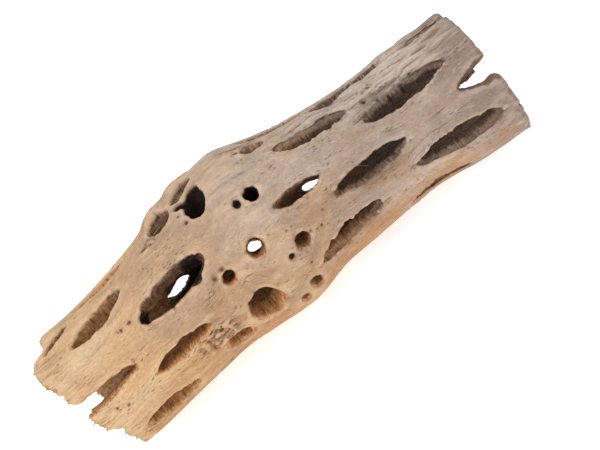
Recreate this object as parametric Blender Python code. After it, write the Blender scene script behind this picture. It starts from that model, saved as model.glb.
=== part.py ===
"""A hollow cholla stem: the woody tube that is left when a cholla cactus has dried out.

The stem lies along X and the ground is at Z = 0. It is modelled about its own axis first, then an empty
turns and lifts it into the way it rests. Lengths are in metres and turns are in degrees round the stem:
0 faces the shown side, and a growing turn goes down over the front edge to the side it lies on.
"""
import math

import bmesh
import bpy
from mathutils import Matrix, Vector, noise

# The stem
SAWN_END = 0.127            # where the clean saw cut stands
TUBE_REACH = 0.146          # the untrimmed tube runs this far both ways

# The torn end: (turn, place along the axis that the wood reaches there)
TORN_LINE = (
    (-73.0, -0.1175),
    (-56.0, -0.1180),
    (-50.0, -0.1245),
    (-44.0, -0.1269),
    (-26.0, -0.1262),
    (-17.0, -0.1235),
    (-10.0, -0.1212),
    (-2.0, -0.1222),
    (2.0, -0.1190),
    (10.0, -0.1130),
    (16.0, -0.1172),
    (23.0, -0.1180),
    (34.0, -0.1160),
    (40.0, -0.1098),
    (49.0, -0.1110),
    (75.0, -0.1076),
    (112.0, -0.1120),
    (160.0, -0.1165),
    (178.0, -0.1185),
    (205.0, -0.1150),
    (232.0, -0.1195),
    (262.0, -0.1150),
)

# (place along the axis, radius of the skin, how far the middle bows towards turn -90)
STATIONS = (
    (-0.146, 0.0355, -0.0020),
    (-0.107, 0.0358, -0.0011),
    (-0.085, 0.0360, 0.0008),
    (-0.050, 0.0383, 0.0052),
    (-0.027, 0.0420, 0.0074),
    (-0.002, 0.0450, 0.0080),
    (0.019, 0.0392, 0.0081),
    (0.036, 0.0357, 0.0068),
    (0.075, 0.0334, 0.0044),
    (0.100, 0.0348, 0.0027),
    (0.146, 0.0353, 0.0016),
)
PLAIN_RADIUS = 0.0355       # the radius the stem has away from its bulge
UNDERSIDE_TURN = 150.0      # the bulge hardly shows on this side
UNDERSIDE_SPREAD = 62.0
UNDERSIDE_SHARE = 0.9

# The stem lies on the high places of its underside, which are worn to one plane
GROUND_TURN = 130.0
GROUND_DEPTH = 0.0328       # how far that plane is below the axis at the middle
GROUND_LEAN = -0.0135       # how much deeper it gets per metre towards the sawn end

# The bore
BORE_RADIUS = 0.0238
BORE_SWELL = 0.35           # share of the bulge that the bore follows
BORE_BOW = 0.45             # share of the bow that the bore follows
BORE_REACH = 0.156          # the cutter runs past both ends of the tube

# Gentle unevenness of the grown wood
SKIN_WAVE = 0.0009
SKIN_WAVELENGTH = 0.021
BORE_WAVE = 0.0011
BORE_WAVELENGTH = 0.013
GRAIN_STRETCH = 0.6         # the swells are longer along the stem than round it

# Windows: (place along the axis, turn, length, width, tilt). A sixth value is the depth of a blind one.
SHOWN_SIDE = (
    (-0.0895, -41.0, 0.0350, 0.0100, 13.0),
    (-0.0529, -10.5, 0.0415, 0.0134, 8.0),
    (-0.1094, 8.0, 0.0486, 0.0082, 4.5),
    (-0.0652, 25.5, 0.0345, 0.0078, 5.5),
    (-0.0853, 58.0, 0.0335, 0.0100, 3.0),
    (0.0430, -41.0, 0.0370, 0.0086, -5.0),
    (0.0215, -4.5, 0.0275, 0.0066, -1.0),
    (0.0550, 11.0, 0.0425, 0.0084, -2.0),
    (0.0305, 44.5, 0.0375, 0.0112, 3.0),
    (0.0864, -22.5, 0.0458, 0.0090, -1.5),
    (0.0950, 34.5, 0.0465, 0.0112, -4.0),
    (0.1290, 2.6, 0.0440, 0.0122, -3.0),
    (0.0780, 75.0, 0.0360, 0.0110, -6.0),
    (0.1160, -66.0, 0.0500, 0.0072, 3.0),
    (-0.1110, -58.0, 0.0200, 0.0042, 25.0),
)
BULGE = (
    (-0.0205, -45.5, 0.0168, 0.0175, -8.0),
    (-0.0225, 42.5, 0.0180, 0.0195, 10.0),
    (-0.0100, 6.7, 0.0090, 0.0096, 0.0),
    (-0.0278, 10.5, 0.0075, 0.0062, 12.0),
    (0.0034, -21.5, 0.0074, 0.0076, 10.0),
    (0.0088, 23.0, 0.0084, 0.0080, 0.0),
    (0.0022, 55.0, 0.0064, 0.0105, 15.0),
    (-0.0393, -60.0, 0.0130, 0.0130, -10.0, 0.0070),
    (-0.0232, -66.0, 0.0175, 0.0085, 28.0, 0.0045),
    (0.0176, -57.5, 0.0125, 0.0080, 12.0, 0.0050),
    (-0.0417, 54.0, 0.0160, 0.0100, 0.0, 0.0055),
    (0.0050, 92.0, 0.0200, 0.0090, 0.0),
    (-0.0080, 268.0, 0.0210, 0.0105, -4.0),
    (0.0130, 242.0, 0.0130, 0.0090, 0.0),
)
FAR_SIDE = (
    (-0.1160, 92.0, 0.0420, 0.0088, 0.0),
    (-0.0480, 84.0, 0.0320, 0.0098, -4.0),
    (-0.0760, 112.0, 0.0370, 0.0100, 3.0),
    (-0.0990, 139.0, 0.0360, 0.0104, -3.0),
    (-0.0480, 134.0, 0.0290, 0.0104, 4.0),
    (-0.0700, 164.0, 0.0320, 0.0098, -5.0),
    (-0.0172, 168.5, 0.0200, 0.0136, 0.0),
    (-0.1040, 192.0, 0.0340, 0.0090, 3.0),
    (-0.0552, 197.0, 0.0215, 0.0074, 4.0),
    (-0.0740, 226.0, 0.0300, 0.0096, -3.0),
    (-0.0310, 232.0, 0.0300, 0.0112, 4.0),
    (-0.0580, 258.0, 0.0350, 0.0102, 2.0),
    (-0.1100, 255.0, 0.0340, 0.0090, 0.0),
    (-0.0830, 286.0, 0.0350, 0.0100, -5.0),
    (0.0450, 98.0, 0.0400, 0.0106, 3.0),
    (0.0080, 126.0, 0.0300, 0.0100, -3.0),
    (0.1160, 103.0, 0.0460, 0.0090, 3.0),
    (0.0820, 122.0, 0.0440, 0.0104, 3.0),
    (0.0540, 150.0, 0.0380, 0.0100, -4.0),
    (0.1280, 140.0, 0.0350, 0.0092, 0.0),
    (0.0362, 190.0, 0.0270, 0.0118, 3.0),
    (0.0890, 181.0, 0.0310, 0.0104, -3.0),
    (0.0670, 221.0, 0.0350, 0.0100, 4.0),
    (0.1300, 173.0, 0.0440, 0.0124, 0.0),
    (0.1120, 223.0, 0.0400, 0.0090, 0.0),
    (0.0130, 215.0, 0.0260, 0.0090, -3.0),
    (0.0420, 247.0, 0.0380, 0.0106, 3.0),
    (0.0870, 256.0, 0.0420, 0.0100, -2.0),
    (0.0280, 277.0, 0.0360, 0.0100, -4.0),
    (0.0680, 286.0, 0.0400, 0.0098, 3.0),
)

# A window's wall: (depth under the skin, share of the width, share of the length), flared at the rim
WINDOW_FLARE = ((-0.0100, 1.60, 1.18), (0.0000, 1.12, 1.04), (0.0030, 0.92, 0.96), (0.0240, 0.40, 0.80))
BLIND_FLOOR = (0.45, 0.60)  # a blind window's floor, as shares of its width and length
WINDOW_POINTS = 18
WINDOW_SHARPNESS = 1.25     # 1 is an ellipse, more draws the ends to points
ROUND_WINDOW = 1.6          # windows less long than this many widths keep round ends

# The finished solid
TUBE_SIDES = 72
TUBE_RINGS = 96
BORE_SIDES = 40
BORE_RINGS = 60
VOXEL = 0.0016
SMOOTHING = 4
KEPT_FACES = 0.061          # share of the triangles that the thinned stem keeps
SAW_BLOCK = 0.24            # edge of the block that the saw cut takes away
TEAR_CELLS = 32
TEAR_WIDTH = 0.13
TEAR_BACK = -0.22           # the tearing block reaches back to here
TEAR_ROUGHNESS = 0.0020
TEAR_GRAIN = 0.006

# Where the axis is when the stem lies, so that the middle of its underside is over the origin
REST_PLACE = (0.0, -0.00444, 0.03279)

WOOD_COLOUR = (0.62, 0.47, 0.33, 1.0)
WOOD_ROUGHNESS = 0.82


def across(turn):
    """The direction out of the stem's axis at this turn."""
    angle = math.radians(turn)
    return Vector((0.0, math.cos(angle), math.sin(angle)))


def station(x, column):
    """One column of STATIONS at x, on a smooth curve through its points."""
    places = [row[0] for row in STATIONS]
    values = [row[column] for row in STATIONS]
    last = len(places) - 2
    i = min(max(sum(place <= x for place in places) - 1, 0), last)
    before, after = max(i - 1, 0), min(i + 2, last + 1)
    span = places[i + 1] - places[i]
    slope_in = (values[i + 1] - values[before]) / (places[i + 1] - places[before])
    slope_out = (values[after] - values[i]) / (places[after] - places[i])
    t = (x - places[i]) / span
    return (
        values[i] * (2 * t**3 - 3 * t**2 + 1)
        + slope_in * span * (t**3 - 2 * t**2 + t)
        + values[i + 1] * (3 * t**2 - 2 * t**3)
        + slope_out * span * (t**3 - t**2)
    )


def unevenness(x, turn, radius, wavelength, height):
    """A gentle swell of grown wood, longer along the grain than across it."""
    place = across(turn) * radius / wavelength
    place.x = GRAIN_STRETCH * x / wavelength
    return height * noise.noise(place)


def skin_radius(x, turn):
    radius = station(x, 1)
    off_underside = (turn - UNDERSIDE_TURN + 180.0) % 360.0 - 180.0
    held_back = UNDERSIDE_SHARE * math.exp(-((off_underside / UNDERSIDE_SPREAD) ** 2))
    radius -= max(radius - PLAIN_RADIUS, 0.0) * held_back
    return radius + unevenness(x, turn, radius, SKIN_WAVELENGTH, SKIN_WAVE)


def skin_point(x, turn):
    point = Vector((x, 0.0, 0.0)) + across(-90.0) * station(x, 2) + across(turn) * skin_radius(x, turn)
    down = across(GROUND_TURN)
    sunk = point.dot(down) - (GROUND_DEPTH + GROUND_LEAN * x)
    return point - down * max(sunk, 0.0)


def bore_point(x, turn):
    radius = BORE_RADIUS + BORE_SWELL * max(station(x, 1) - PLAIN_RADIUS, 0.0)
    radius += unevenness(x, turn, radius, BORE_WAVELENGTH, BORE_WAVE)
    return Vector((x, 0.0, 0.0)) + across(-90.0) * station(x, 2) * BORE_BOW + across(turn) * radius


def new_object(name, bm, frame):
    bm.normal_update()
    bmesh.ops.recalc_face_normals(bm, faces=bm.faces)
    mesh = bpy.data.meshes.new(name)
    bm.to_mesh(mesh)
    bm.free()
    obj = bpy.data.objects.new(name, mesh)
    bpy.context.scene.collection.objects.link(obj)
    obj.parent = frame
    return obj


def as_cutter(obj):
    obj.hide_render = True
    obj.display_type = "WIRE"
    return obj


def tube(name, reach, sides, rings, surface, frame):
    """A closed tube along X whose rings follow surface(x, turn)."""
    bm = bmesh.new()
    bmesh.ops.create_cone(bm, cap_ends=True, segments=sides, radius1=1.0, radius2=1.0, depth=2 * reach)
    long_edges = [e for e in bm.edges if abs(e.verts[0].co.z - e.verts[1].co.z) > reach]
    bmesh.ops.subdivide_edges(bm, edges=long_edges, cuts=rings, use_grid_fill=True)
    for vert in bm.verts:
        turn = math.degrees(math.atan2(vert.co.y, vert.co.x))
        vert.co = surface(vert.co.z, turn)
    return new_object(name, bm, frame)


def window_blank(rows):
    """A plain prism with rows rings of points, whose Z counts the rings, to be bent into windows."""
    bm = bmesh.new()
    bmesh.ops.create_cone(
        bm, cap_ends=True, segments=WINDOW_POINTS, radius1=1.0, radius2=1.0, depth=rows - 1,
        matrix=Matrix.Translation((0.0, 0.0, (rows - 1) / 2)),
    )
    walls = [e for e in bm.edges if abs(e.verts[0].co.z - e.verts[1].co.z) > 0.5]
    bmesh.ops.subdivide_edges(bm, edges=walls, cuts=rows - 2, use_grid_fill=True)
    blank = bpy.data.meshes.new("window_blank")
    bm.to_mesh(blank)
    bm.free()
    return blank


def add_window(bm, blanks, x, turn, length, width, tilt, depth=None):
    """One lens-shaped cutter, square to the skin and narrowing towards the bore."""
    flare = WINDOW_FLARE if depth is None else (*WINDOW_FLARE[:2], (depth, *BLIND_FLOOR))
    first = len(bm.verts)
    bm.from_mesh(blanks[len(flare)])
    bm.verts.ensure_lookup_table()
    sharpness = WINDOW_SHARPNESS if length > ROUND_WINDOW * width else 1.0
    out = across(turn)
    along = Matrix.Rotation(math.radians(tilt), 3, out) @ Vector((1.0, 0.0, 0.0))
    over = out.cross(along)
    top = skin_point(x, turn)
    for vert in bm.verts[first:]:
        below, widen, lengthen = flare[round(vert.co.z)]
        u = vert.co.x * length / 2 * lengthen
        v = math.copysign(abs(vert.co.y) ** sharpness, vert.co.y) * width / 2 * widen
        vert.co = top + along * u + over * v - out * below


def windows(frame):
    blanks = {rows: window_blank(rows) for rows in (3, 4)}
    bm = bmesh.new()
    for window in (*SHOWN_SIDE, *BULGE, *FAR_SIDE):
        add_window(bm, blanks, *window)
    return as_cutter(new_object("window_cutters", bm, frame))


def saw_cut():
    """A block whose face is the clean cut, upright as the stem lies."""
    bm = bmesh.new()
    bmesh.ops.create_cube(bm, size=SAW_BLOCK, matrix=Matrix.Translation((SAWN_END + SAW_BLOCK / 2, 0.0, 0.0)))
    return as_cutter(new_object("saw_cutter", bm, None))


def torn_reach(turn):
    """How far the wood reaches at this turn before it is torn off, between the points of TORN_LINE."""
    first = TORN_LINE[0]
    line = (*TORN_LINE, (first[0] + 360.0, first[1]))
    turn = first[0] + (turn - first[0]) % 360.0
    for (start, x_start), (end, x_end) in zip(line, line[1:]):
        if turn <= end:
            return x_start + (x_end - x_start) * (turn - start) / (end - start)
    return first[1]


def torn_end(frame):
    """A block whose face is the rough break at the other end."""
    bm = bmesh.new()
    bmesh.ops.create_grid(bm, x_segments=TEAR_CELLS, y_segments=TEAR_CELLS, size=TEAR_WIDTH / 2)
    for vert in bm.verts:
        place = Vector((0.0, vert.co.x, vert.co.y))
        x = torn_reach(math.degrees(math.atan2(place.z, place.y)))
        x += TEAR_ROUGHNESS * noise.noise(place / TEAR_GRAIN)
        vert.co = (x, place.y, place.z)
    face = bmesh.ops.extrude_face_region(bm, geom=bm.faces[:])["geom"]
    pushed = [item for item in face if isinstance(item, bmesh.types.BMVert)]
    for vert in pushed:
        vert.co.x = TEAR_BACK
    return as_cutter(new_object("tear_cutter", bm, frame))


def cut_with(stem, name, cutter):
    cut = stem.modifiers.new(name, "BOOLEAN")
    cut.operation = "DIFFERENCE"
    cut.object = cutter
    cut.solver = "EXACT"
    cut.use_self = name == "Windows"  # some windows run into one another


def wood():
    material = bpy.data.materials.new("dry_wood")
    material.use_nodes = True
    shader = material.node_tree.nodes["Principled BSDF"]
    shader.inputs["Base Color"].default_value = WOOD_COLOUR
    shader.inputs["Roughness"].default_value = WOOD_ROUGHNESS
    shader.inputs["Metallic"].default_value = 0.0
    return material


def cholla_stem(frame):
    stem = tube("cholla_stem", TUBE_REACH, TUBE_SIDES, TUBE_RINGS, skin_point, frame)
    bore = as_cutter(tube("bore_cutter", BORE_REACH, BORE_SIDES, BORE_RINGS, bore_point, frame))
    cut_with(stem, "Bore", bore)
    cut_with(stem, "Windows", windows(frame))
    even = stem.modifiers.new("Even", "REMESH")
    even.mode = "VOXEL"
    even.voxel_size = VOXEL
    soften = stem.modifiers.new("Soften", "SMOOTH")
    soften.factor = 0.5
    soften.iterations = SMOOTHING
    facet = stem.modifiers.new("Facet", "DECIMATE")
    facet.ratio = KEPT_FACES
    cut_with(stem, "Saw cut", saw_cut())
    cut_with(stem, "Torn end", torn_end(frame))
    stem.data.materials.append(wood())
    return stem


def main():
    for obj in list(bpy.data.objects):
        bpy.data.objects.remove(obj)
    frame = bpy.data.objects.new("resting_place", None)
    bpy.context.scene.collection.objects.link(frame)
    frame.rotation_euler = (math.radians(270.0 - GROUND_TURN), -math.atan(GROUND_LEAN), 0.0)
    frame.location = REST_PLACE
    cholla_stem(frame)


main()
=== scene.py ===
import math
import random

import bmesh
import bpy
import numpy as np
from mathutils import Matrix, Vector, noise
from mathutils.bvhtree import BVHTree


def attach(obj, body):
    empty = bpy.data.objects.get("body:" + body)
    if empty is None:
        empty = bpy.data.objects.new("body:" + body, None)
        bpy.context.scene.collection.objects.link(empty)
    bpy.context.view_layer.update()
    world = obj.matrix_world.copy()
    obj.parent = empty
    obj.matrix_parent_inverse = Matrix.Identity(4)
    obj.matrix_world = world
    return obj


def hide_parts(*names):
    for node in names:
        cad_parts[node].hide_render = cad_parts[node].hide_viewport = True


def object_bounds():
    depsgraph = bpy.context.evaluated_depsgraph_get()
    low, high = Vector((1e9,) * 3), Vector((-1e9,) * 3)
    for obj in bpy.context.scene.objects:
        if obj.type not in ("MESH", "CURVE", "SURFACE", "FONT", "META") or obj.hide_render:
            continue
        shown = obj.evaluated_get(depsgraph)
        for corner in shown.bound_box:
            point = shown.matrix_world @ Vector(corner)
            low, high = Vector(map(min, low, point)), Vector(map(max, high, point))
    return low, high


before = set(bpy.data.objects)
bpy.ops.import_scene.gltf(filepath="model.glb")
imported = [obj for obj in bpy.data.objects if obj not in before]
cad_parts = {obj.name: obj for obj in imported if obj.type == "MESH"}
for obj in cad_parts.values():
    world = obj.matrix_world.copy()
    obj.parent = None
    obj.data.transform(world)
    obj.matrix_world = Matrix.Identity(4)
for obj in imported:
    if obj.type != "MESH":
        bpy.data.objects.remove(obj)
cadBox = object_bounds()
print("frame loaded")

# The stem, in metres and in degrees round it: 0 faces the shown side, 90 is the lower front edge
stem = {
    "sawnEnd": 0.127,
    # turn, place along the axis that the wood reaches there before it is torn off
    "tornLine": (
        (-73, -0.1175), (-56, -0.118), (-50, -0.1245), (-44, -0.1269), (-26, -0.1262), (-17, -0.1235),
        (-10, -0.1212), (-2, -0.1222), (2, -0.119), (10, -0.113), (16, -0.1172), (23, -0.118),
        (34, -0.116), (40, -0.1098), (49, -0.111), (75, -0.1076), (112, -0.112), (160, -0.1165),
        (178, -0.1185), (205, -0.115), (232, -0.1195), (262, -0.115),
    ),
    "reach": 0.146,
    # place along the axis, radius of the skin, how far the middle bows towards turn -90
    "stations": (
        (-0.146, 0.0355, -0.002), (-0.107, 0.0358, -0.0011), (-0.085, 0.036, 0.0008),
        (-0.05, 0.0383, 0.0052), (-0.027, 0.042, 0.0074), (-0.002, 0.045, 0.008),
        (0.019, 0.0392, 0.0081), (0.036, 0.0357, 0.0068), (0.075, 0.0334, 0.0044),
        (0.1, 0.0348, 0.0027), (0.146, 0.0353, 0.0016),
    ),
    "plainRadius": 0.0355,
    "undersideTurn": 150.0,
    "undersideSpread": 62.0,
    "undersideShare": 0.9,
    "groundTurn": 130.0,
    "groundDepth": 0.0328,
    "groundLean": -0.0135,
    "skinWave": 0.0009,
    "skinWavelength": 0.021,
    "restPlace": (0.0, -0.00444, 0.03279),
    "sides": 120,
    "rings": 150,
    # reach and number of the places at which whole meshes read the stations
    "tableReach": 0.14,
    "tableSteps": 281,
}
bore = {
    "radius": 0.0238,
    "swell": 0.35,
    "bow": 0.45,
    "wave": 0.0011,
    "wavelength": 0.013,
    "grainStretch": 0.6,
    "reach": 0.156,
    "sides": 60,
    "rings": 90,
}

# Windows: place along the axis, turn, length, width, tilt, and the depth of a blind one
windows = {
    "shownSide": (
        (-0.0895, -41, 0.035, 0.01, 13), (-0.0529, -10.5, 0.0415, 0.0134, 8),
        (-0.1094, 8, 0.0486, 0.0082, 4.5), (-0.0652, 25.5, 0.0345, 0.0078, 5.5),
        (-0.0853, 58, 0.0335, 0.01, 3), (0.043, -41, 0.037, 0.0086, -5),
        (0.0215, -4.5, 0.0275, 0.0066, -1), (0.055, 11, 0.0425, 0.0084, -2),
        (0.0305, 44.5, 0.0375, 0.0112, 3), (0.0864, -22.5, 0.0458, 0.009, -1.5),
        (0.095, 34.5, 0.0465, 0.0112, -4), (0.129, 2.6, 0.044, 0.0122, -3),
        (0.078, 75, 0.036, 0.011, -6), (0.116, -66, 0.05, 0.0072, 3), (-0.111, -58, 0.02, 0.0042, 25),
    ),
    "bulge": (
        (-0.02, -44.5, 0.0126, 0.0182, -8), (-0.0225, 42.5, 0.018, 0.0195, 10),
        (-0.01, 6.7, 0.009, 0.0096, 0), (-0.0278, 10.5, 0.0075, 0.0062, 12),
        (0.0034, -21.5, 0.0074, 0.0076, 10), (0.0088, 23, 0.0084, 0.008, 0),
        (0.0022, 55, 0.0064, 0.0105, 15), (-0.0397, -61.5, 0.015, 0.0138, -10, 0.0095),
        (-0.0228, -67, 0.018, 0.0096, 28, 0.0065), (0.0176, -57.5, 0.0125, 0.008, 12, 0.005),
        (-0.0417, 54, 0.016, 0.01, 0, 0.0055), (0.005, 92, 0.02, 0.009, 0),
        (-0.008, 268, 0.021, 0.0105, -4), (0.013, 242, 0.013, 0.009, 0),
    ),
    "farSide": (
        (-0.116, 92, 0.042, 0.0088, 0), (-0.048, 84, 0.032, 0.0098, -4), (-0.076, 112, 0.037, 0.01, 3),
        (-0.099, 139, 0.036, 0.0104, -3), (-0.048, 134, 0.029, 0.0104, 4),
        (-0.07, 164, 0.032, 0.0098, -5), (-0.0172, 168.5, 0.02, 0.014, -25),
        (-0.104, 192, 0.034, 0.009, 3), (-0.0542, 196.5, 0.019, 0.0088, -14),
        (-0.074, 226, 0.03, 0.0096, -3), (-0.031, 232, 0.03, 0.0112, 4),
        (-0.058, 258, 0.035, 0.0102, 2), (-0.11, 255, 0.034, 0.009, 0), (-0.083, 286, 0.035, 0.01, -5),
        (0.045, 98, 0.04, 0.0106, 3), (0.008, 126, 0.03, 0.01, -3), (0.116, 103, 0.046, 0.009, 3),
        (0.082, 122, 0.044, 0.0104, 3), (0.054, 150, 0.038, 0.01, -4), (0.131, 140, 0.033, 0.009, 0),
        (0.0362, 190, 0.027, 0.0118, 3), (0.089, 181, 0.031, 0.0104, -3), (0.067, 221, 0.035, 0.01, 4),
        (0.13, 173, 0.044, 0.0124, 0), (0.112, 223, 0.04, 0.009, 0), (0.013, 215, 0.026, 0.009, -3),
        (0.042, 247, 0.038, 0.0106, 3), (0.087, 256, 0.042, 0.01, -2), (0.028, 277, 0.036, 0.01, -4),
        (0.068, 286, 0.04, 0.0098, 3),
    ),
    # small blind holes between the windows
    "pinHoles": (
        (0.0004, 25, 0.0036, 0.004, 0, 0.0045), (-0.0045, -21, 0.004, 0.005, 0, 0.005),
        (-0.0067, 60, 0.005, 0.008, 0, 0.0035),
    ),
    # small cuts that fray the outline of a window
    "frays": (
        (-0.0262, -53.5, 0.0094, 0.0046, -25, 0.008), (-0.017, -53.5, 0.0064, 0.008, 0, 0.008),
        (-0.0225, -38, 0.006, 0.007, 0, 0.008), (-0.041, -5.5, 0.0076, 0.0074, 0, 0.011),
        (-0.0652, -16.5, 0.009, 0.0064, 10, 0.011), (-0.0498, -22.5, 0.0012, 0.0012, 0, 0.002),
        (-0.0531, -21.8, 0.001, 0.0012, 0, 0.002), (-0.0494, -1, 0.0012, 0.0014, 0, 0.003),
        (-0.056, 0, 0.003, 0.002, 0, 0.004), (0.1278, 43, 0.0044, 0.0036, 0, 0.015),
        (0.1276, 26, 0.0024, 0.005, 0, 0.006), (0.1276, 52, 0.0026, 0.004, 20, 0.007),
        (0.1277, -17, 0.0028, 0.0044, 0, 0.006), (0.1276, -36, 0.0024, 0.006, -20, 0.008),
        (0.1278, -52, 0.004, 0.005, 0, 0.007), (0.1276, 120, 0.0026, 0.007, 0, 0.006),
        (0.1277, 205, 0.0034, 0.005, 20, 0.007),
    ),
    # from this width on, a window's middle bends up and its outline wavers more
    "widest": 0.013,
    "bend": 0.0013,
    "waver": 1.7,
    # depth under the skin, share of the width, share of the length
    "flare": ((-0.01, 1.6, 1.18), (0.0, 1.12, 1.04), (0.003, 0.92, 0.96), (0.024, 0.4, 0.8)),
    "blindFloor": (0.45, 0.6),
    "points": 30,
    "sharpness": 1.25,
    "roundWindow": 1.6,
    "wobble": 0.0007,
    "wobbleGrain": 0.0045,
    "smallWidth": 0.008,
}
tear = {"cells": 190, "quickCells": 120, "width": 0.13, "back": -0.22,
        # height and grain of the break's unevenness, coarse to fine
        "grains": ((0.002, 0.006), (0.0018, 0.0021), (0.0012, 0.001))}
saw = {"block": 0.24, "spare": 0.003}
fineMesh = {"voxel": 0.0008, "quickVoxel": 0.0012, "smoothing": 4, "softening": 0.5,
            "mostTriangles": 186000, "crispFrom": 62.0}


def across(turn):
    angle = math.radians(turn)
    return Vector((0.0, math.cos(angle), math.sin(angle)))


# from one turn to another, -180 to 180
def turnFrom(start, turn):
    return (turn - start + 180.0) % 360.0 - 180.0


# one column of the stations at x, on a smooth curve through its points
def station(x, column):
    places = [row[0] for row in stem["stations"]]
    values = [row[column] for row in stem["stations"]]
    last = len(places) - 2
    i = min(max(sum(place <= x for place in places) - 1, 0), last)
    before, after = max(i - 1, 0), min(i + 2, last + 1)
    span = places[i + 1] - places[i]
    slopeIn = (values[i + 1] - values[before]) / (places[i + 1] - places[before])
    slopeOut = (values[after] - values[i]) / (places[after] - places[i])
    t = (x - places[i]) / span
    return (
        values[i] * (2 * t**3 - 3 * t**2 + 1)
        + slopeIn * span * (t**3 - 2 * t**2 + t)
        + values[i + 1] * (3 * t**2 - 2 * t**3)
        + slopeOut * span * (t**3 - t**2)
    )


def unevenness(x, turn, radius, wavelength, height):
    place = across(turn) * radius / wavelength
    place.x = bore["grainStretch"] * x / wavelength
    return height * noise.noise(place)


def plainSkinRadius(x, turn):
    radius = station(x, 1)
    off = turnFrom(stem["undersideTurn"], turn) / stem["undersideSpread"]
    heldBack = stem["undersideShare"] * math.exp(-(off**2))
    return radius - max(radius - stem["plainRadius"], 0.0) * heldBack


def skinPoint(x, turn):
    radius = plainSkinRadius(x, turn)
    radius += unevenness(x, turn, station(x, 1), stem["skinWavelength"], stem["skinWave"])
    point = Vector((x, 0.0, 0.0)) + across(-90.0) * station(x, 2) + across(turn) * radius
    down = across(stem["groundTurn"])
    sunk = point.dot(down) - (stem["groundDepth"] + stem["groundLean"] * x)
    return point - down * max(sunk, 0.0)


def borePoint(x, turn):
    radius = bore["radius"] + bore["swell"] * max(station(x, 1) - stem["plainRadius"], 0.0)
    radius += unevenness(x, turn, radius, bore["wavelength"], bore["wave"])
    return Vector((x, 0.0, 0.0)) + across(-90.0) * station(x, 2) * bore["bow"] + across(turn) * radius


# from the stem's own axes to the way it lies
restMatrix = (
    Matrix.Translation(stem["restPlace"])
    @ Matrix.Rotation(-math.atan(stem["groundLean"]), 4, "Y")
    @ Matrix.Rotation(math.radians(270.0 - stem["groundTurn"]), 4, "X")
)


def newObject(name, bm):
    bm.normal_update()
    bmesh.ops.recalc_face_normals(bm, faces=bm.faces)
    if bm.calc_volume(signed=True) < 0:
        bmesh.ops.reverse_faces(bm, faces=bm.faces)
    mesh = bpy.data.meshes.new(name)
    bm.to_mesh(mesh)
    bm.free()
    made = bpy.data.objects.new(name, mesh)
    bpy.context.scene.collection.objects.link(made)
    return made


def tube(name, size, pointAt):
    bm = bmesh.new()
    bmesh.ops.create_cone(bm, cap_ends=True, segments=size["sides"], radius1=1.0, radius2=1.0,
                          depth=2 * size["reach"])
    longEdges = [e for e in bm.edges if abs(e.verts[0].co.z - e.verts[1].co.z) > size["reach"]]
    bmesh.ops.subdivide_edges(bm, edges=longEdges, cuts=size["rings"], use_grid_fill=True)
    for vert in bm.verts:
        vert.co = restMatrix @ pointAt(vert.co.z, math.degrees(math.atan2(vert.co.y, vert.co.x)))
    return newObject(name, bm)


# a prism of radius 1 with its rings of points at heights 0, 1, 2 and so on
def ringedBlank(name, points, rows):
    bm = bmesh.new()
    bmesh.ops.create_cone(bm, cap_ends=True, segments=points, radius1=1.0, radius2=1.0,
                          depth=rows - 1, matrix=Matrix.Translation((0.0, 0.0, (rows - 1) / 2)))
    walls = [e for e in bm.edges if abs(e.verts[0].co.z - e.verts[1].co.z) > 0.5]
    bmesh.ops.subdivide_edges(bm, edges=walls, cuts=rows - 2, use_grid_fill=True)
    blank = bpy.data.meshes.new(name)
    bm.to_mesh(blank)
    bm.free()
    return blank


def addBlank(bm, blank):
    first = len(bm.verts)
    bm.from_mesh(blank)
    bm.verts.ensure_lookup_table()
    return bm.verts[first:]


# one lens-shaped cutter, square to the skin and narrowing towards the bore, with a wavering outline
def addWindow(bm, blanks, x, turn, length, width, tilt, depth=None):
    flare = windows["flare"] if depth is None else (*windows["flare"][:2], (depth, *windows["blindFloor"]))
    sharpness = windows["sharpness"] if length > windows["roundWindow"] * width else 1.0
    out = across(turn)
    along = Matrix.Rotation(math.radians(tilt), 3, out) @ Vector((1.0, 0.0, 0.0))
    over = out.cross(along)
    top = skinPoint(x, turn)
    wobble = windows["wobble"] * min(width / windows["smallWidth"], 1.0)
    bend = 0.0
    if width > windows["widest"]:
        wobble *= windows["waver"]
        bend = windows["bend"] if length > 2 * width else 0.0
    for vert in addBlank(bm, blanks[len(flare)]):
        below, widen, lengthen = flare[round(vert.co.z)]
        u = vert.co.x * length / 2 * lengthen
        v = math.copysign(abs(vert.co.y) ** sharpness, vert.co.y) * width / 2 * widen
        v += bend * (1 - 3 * (u / length) ** 2)
        place = top + along * u + over * v
        v += wobble * noise.noise(place / windows["wobbleGrain"]) * 2
        vert.co = restMatrix @ (top + along * u + over * v - out * below)


def windowCutters():
    blanks = {rows: ringedBlank("windowBlank", windows["points"], rows) for rows in (3, 4)}
    bm = bmesh.new()
    for rows in ("shownSide", "bulge", "farSide", "pinHoles", "frays"):
        for window in windows[rows]:
            addWindow(bm, blanks, *window)
    return newObject("windowCutters", bm)


def sawBlock():
    start = stem["sawnEnd"] + saw["spare"]
    bm = bmesh.new()
    middle = Matrix.Translation((start + saw["block"] / 2, 0.0, 0.0))
    bmesh.ops.create_cube(bm, size=saw["block"], matrix=middle)
    return newObject("sawBlock", bm)


# how far the wood reaches at these turns before it is torn off
def tornReaches(turns):
    line = (*stem["tornLine"], (stem["tornLine"][0][0] + 360.0, stem["tornLine"][0][1]))
    past = line[0][0] + (turns - line[0][0]) % 360.0
    return np.interp(past, [turn for turn, _ in line], [reach for _, reach in line])


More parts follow.
